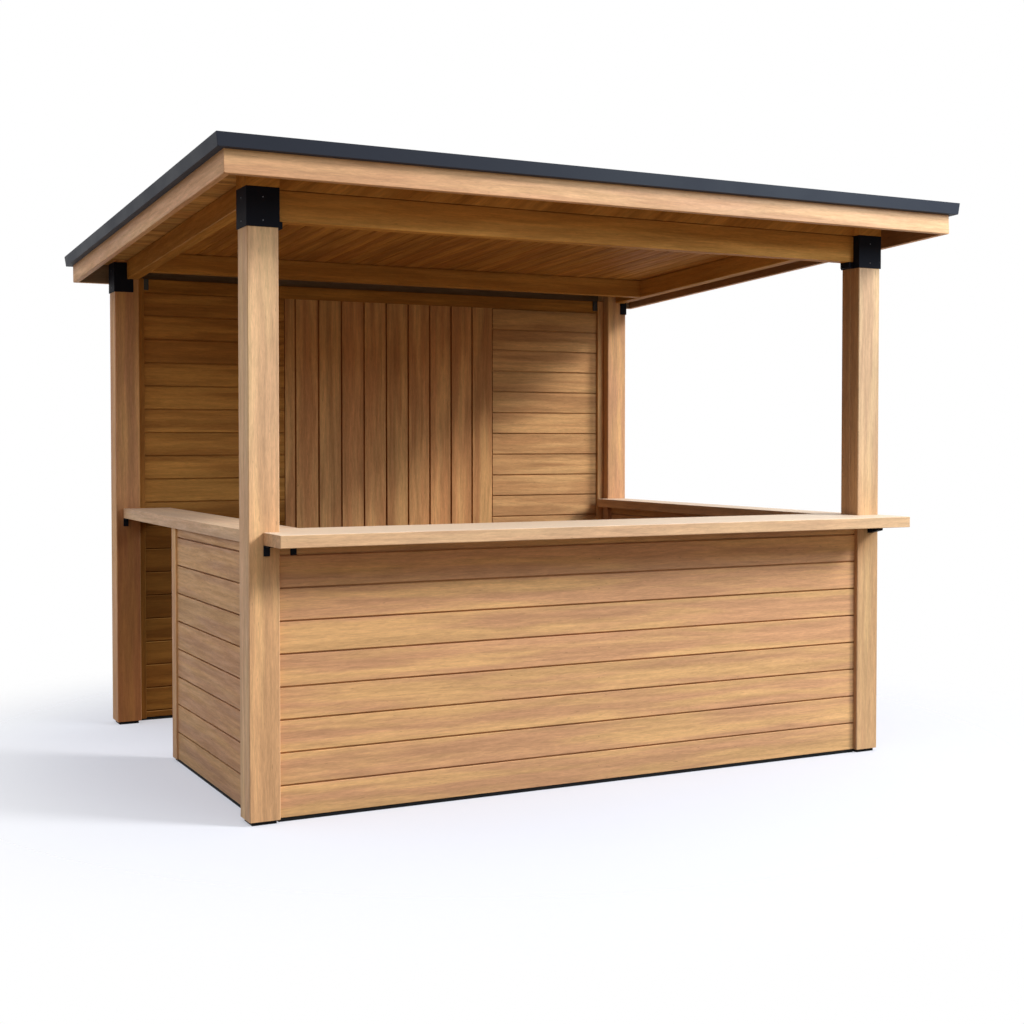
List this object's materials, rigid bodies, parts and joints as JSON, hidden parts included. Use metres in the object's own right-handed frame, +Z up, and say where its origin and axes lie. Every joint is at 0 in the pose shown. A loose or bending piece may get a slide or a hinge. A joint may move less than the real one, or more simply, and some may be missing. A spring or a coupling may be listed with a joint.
{
  "type": "garden bar gazebo",
  "caption": "Timber garden bar gazebo with a low sloping roof, half-height board walls, bar counters on the front and sides and a full back wall.",
  "frame": {"origin": "on the ground, under the middle of the roof outline", "axes": "+Z up, front of the bar towards -Y, +X to the right seen from the front along the longest side"},
  "size_m": [3.4, 2.778, 2.5034],
  "materials": {
    "timber": "oiled, fine grain",
    "boards": "oiled tongued boards",
    "counter": "smooth oiled",
    "bracket_steel": "black powder coat",
    "trim_metal": "anthracite matt coat",
    "rubber": "matt black"
  },
  "bodies": {
    "root": {"post_front_left": "timber", "post_front_right": "timber", "post_back_left": "timber", "post_back_right": "timber", "post_feet": "rubber", "bracket_front_left": "bracket_steel", "bracket_front_right": "bracket_steel", "bracket_back_left": "bracket_steel", "bracket_back_right": "bracket_steel", "beam_front": "timber", "beam_left": "timber", "beam_right": "timber", "beam_cross": "timber", "front_top_plate": "timber", "ceiling_panel": "boards", "soffit_left": "boards", "soffit_right": "boards", "roof_deck": "boards", "roof_membrane": "rubber", "fascia_front": "timber", "fascia_back": "timber", "fascia_left": "timber", "fascia_right": "timber", "edge_trim_front": "trim_metal", "edge_trim_back": "trim_metal", "edge_trim_left": "trim_metal", "edge_trim_right": "trim_metal", "wall_front": "boards", "wall_left": "boards", "wall_left_stile": "timber", "wall_right": "boards", "back_wall_left": "boards", "back_wall_panel": "boards", "back_wall_right": "boards", "back_wall_rail": "boards", "back_batten_left": "timber", "back_batten_right": "timber", "wall_sills": "rubber", "counter_front": "counter", "counter_left": "counter", "counter_right": "counter", "counter_brackets": "bracket_steel", "wall_clips": "bracket_steel"}
  },
  "joints": []
}
